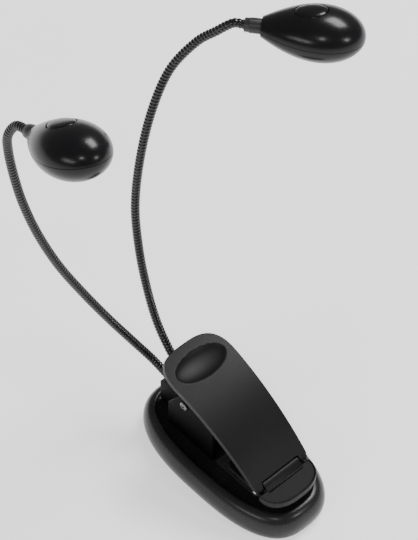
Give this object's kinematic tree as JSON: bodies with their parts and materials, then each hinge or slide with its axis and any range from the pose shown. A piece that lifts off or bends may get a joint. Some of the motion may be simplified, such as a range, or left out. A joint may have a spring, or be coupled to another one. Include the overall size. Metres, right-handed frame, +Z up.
{
  "type": "clip on reading lamp",
  "caption": "Battery clip-on reading lamp: oval base with a sprung clip lever, slim bendable goosenecks and egg-shaped lamp heads with push buttons.",
  "frame": {"origin": "centre of the flat underside of the base, on the surface it stands on", "axes": "+X along the base towards the mouth of the clip, +Y to the side of the right-hand lamp head, +Z up"},
  "size_m": [0.1343, 0.1617, 0.2452],
  "materials": {
    "base_satin_black": "satin moulded black plastic",
    "cover_black": "fine matte moulded plastic",
    "textured_black": "fine spark-textured black plastic",
    "cell_jacket": "printed sleeve",
    "plated_steel": "zinc-plated steel",
    "pad_rubber": "ribbed soft rubber",
    "neck_coil_black": "black ribbed gooseneck coil",
    "head_gloss_black": "polished black plastic",
    "ferrule_black": "satin black socket",
    "clear_lens": "clear window",
    "circuit_green": "lacquered circuit board",
    "led_white": "white light-emitting diode body",
    "switch_grey": "push switch body"
  },
  "bodies": {
    "base": {"base_shell": "base_satin_black", "bottom_cover": "cover_black", "battery_cell_1": "cell_jacket", "battery_cell_2": "cell_jacket", "battery_cell_3": "cell_jacket", "contact_plates": "plated_steel", "contact_springs": "plated_steel", "cover_screws": "plated_steel", "base_pad": "pad_rubber", "neck_block": "textured_black", "block_screw": "plated_steel", "block_nut": "plated_steel", "lever_pin": "plated_steel", "neck_l_root": "neck_coil_black", "neck_r_root": "neck_coil_black", "neck_l_bend_1": "neck_coil_black", "neck_r_bend_1": "neck_coil_black"},
    "door": {"battery_door": "cover_black"},
    "lever_arm": {"lever": "textured_black", "torsion_spring": "plated_steel"},
    "foot": {"jaw_foot": "textured_black", "foot_pin": "plated_steel", "foot_pad": "pad_rubber"},
    "neck_l_low": {"neck_l_lower": "neck_coil_black", "neck_l_bend_2": "neck_coil_black"},
    "neck_l_mid": {"neck_l_middle": "neck_coil_black", "neck_l_bend_3": "neck_coil_black"},
    "neck_l_top": {"neck_l_upper": "neck_coil_black", "neck_l_bend_4": "neck_coil_black"},
    "head_l": {"neck_l_tip": "neck_coil_black", "head_l_ferrule": "ferrule_black", "head_l_top_shell": "head_gloss_black", "head_l_bottom_shell": "head_gloss_black", "head_l_lens": "clear_lens", "head_l_board": "circuit_green", "head_l_leds": "led_white", "head_l_switch": "switch_grey", "head_l_screws": "plated_steel"},
    "button_l": {"head_l_button": "head_gloss_black"},
    "neck_r_low": {"neck_r_lower": "neck_coil_black", "neck_r_bend_2": "neck_coil_black"},
    "neck_r_mid": {"neck_r_middle": "neck_coil_black", "neck_r_bend_3": "neck_coil_black"},
    "neck_r_top": {"neck_r_upper": "neck_coil_black", "neck_r_bend_4": "neck_coil_black"},
    "head_r": {"neck_r_tip": "neck_coil_black", "head_r_ferrule": "ferrule_black", "head_r_top_shell": "head_gloss_black", "head_r_bottom_shell": "head_gloss_black", "head_r_lens": "clear_lens", "head_r_board": "circuit_green", "head_r_leds": "led_white", "head_r_switch": "switch_grey", "head_r_screws": "plated_steel"},
    "button_r": {"head_r_button": "head_gloss_black"}
  },
  "joints": [
    {"name": "door_slide", "type": "slide", "parent": "base", "child": "door", "axis": [1, 0, 0], "range_m": [0, 0.03]},
    {"name": "lever_pivot", "type": "hinge", "parent": "base", "child": "lever_arm", "pos_m": [-0.005, 0, 0.0385], "axis": [0, -1, 0], "range_deg": [0, 24], "stiffness_Nm_per_rad": 0.4, "springref_deg": -34.38, "deforming": ["torsion_spring"]},
    {"name": "foot_hinge", "type": "hinge", "parent": "lever_arm", "child": "foot", "pos_m": [0.0324, 0, 0.0248], "axis": [0, -1, 0], "range_deg": [-20, 0]},
    {"name": "neck_l_bend_1", "type": "hinge", "parent": "base", "child": "neck_l_low", "pos_m": [-0.0486, -0.0064, 0.0401], "axis": [-0.1971, 0.948, 0.25], "range_deg": [-25, 25], "deforming": ["neck_l_bend_1"]},
    {"name": "neck_l_bend_2", "type": "hinge", "parent": "neck_l_low", "child": "neck_l_mid", "pos_m": [-0.0679, -0.0308, 0.0921], "axis": [0.9841, -0.0704, 0.163], "range_deg": [-30, 30], "deforming": ["neck_l_bend_2"]},
    {"name": "neck_l_bend_3", "type": "hinge", "parent": "neck_l_mid", "child": "neck_l_top", "pos_m": [-0.07675, -0.05264, 0.15881], "axis": [-0.9943, 0.0129, -0.1056], "range_deg": [-30, 30], "deforming": ["neck_l_bend_3"]},
    {"name": "neck_l_bend_4", "type": "hinge", "parent": "neck_l_top", "child": "head_l", "pos_m": [-0.0793, -0.05704, 0.2009], "axis": [0.0056, 0.9976, 0.0688], "range_deg": [-40, 40], "deforming": ["neck_l_bend_4"]},
    {"name": "button_l_press", "type": "slide", "parent": "head_l", "child": "button_l", "axis": [0.3818, -0.1526, -0.9115], "range_m": [0, 0.0008], "stiffness_N_per_m": 900, "springref_m": -0.0008},
    {"name": "neck_r_bend_1", "type": "hinge", "parent": "base", "child": "neck_r_low", "pos_m": [-0.0491, 0.0035, 0.0412], "axis": [-0.0065, 0.9999, 0.0087], "range_deg": [-25, 25], "deforming": ["neck_r_bend_1"]},
    {"name": "neck_r_bend_2", "type": "hinge", "parent": "neck_r_low", "child": "neck_r_mid", "pos_m": [-0.069, 0.0043, 0.0952], "axis": [0.9801, 0.0116, 0.1981], "range_deg": [-30, 30], "deforming": ["neck_r_bend_2"]},
    {"name": "neck_r_bend_3", "type": "hinge", "parent": "neck_r_mid", "child": "neck_r_top", "pos_m": [-0.07531, 0.01809, 0.1665], "axis": [-0.7701, -0.5987, 0.2201], "range_deg": [-30, 30], "deforming": ["neck_r_bend_3"]},
    {"name": "neck_r_bend_4", "type": "hinge", "parent": "neck_r_top", "child": "head_r", "pos_m": [-0.0643, 0.04137, 0.20978], "axis": [-0.6156, 0.788, -0.0106], "range_deg": [-40, 40], "deforming": ["neck_r_bend_4"]},
    {"name": "button_r_press", "type": "slide", "parent": "head_r", "child": "button_r", "axis": [0.1175, -0.1504, -0.9816], "range_m": [0, 0.0008], "stiffness_N_per_m": 900, "springref_m": -0.0008}
  ],
  "couplings": [
    {"joint": "foot_hinge", "follows": "lever_pivot", "ratio": -0.8}
  ]
}
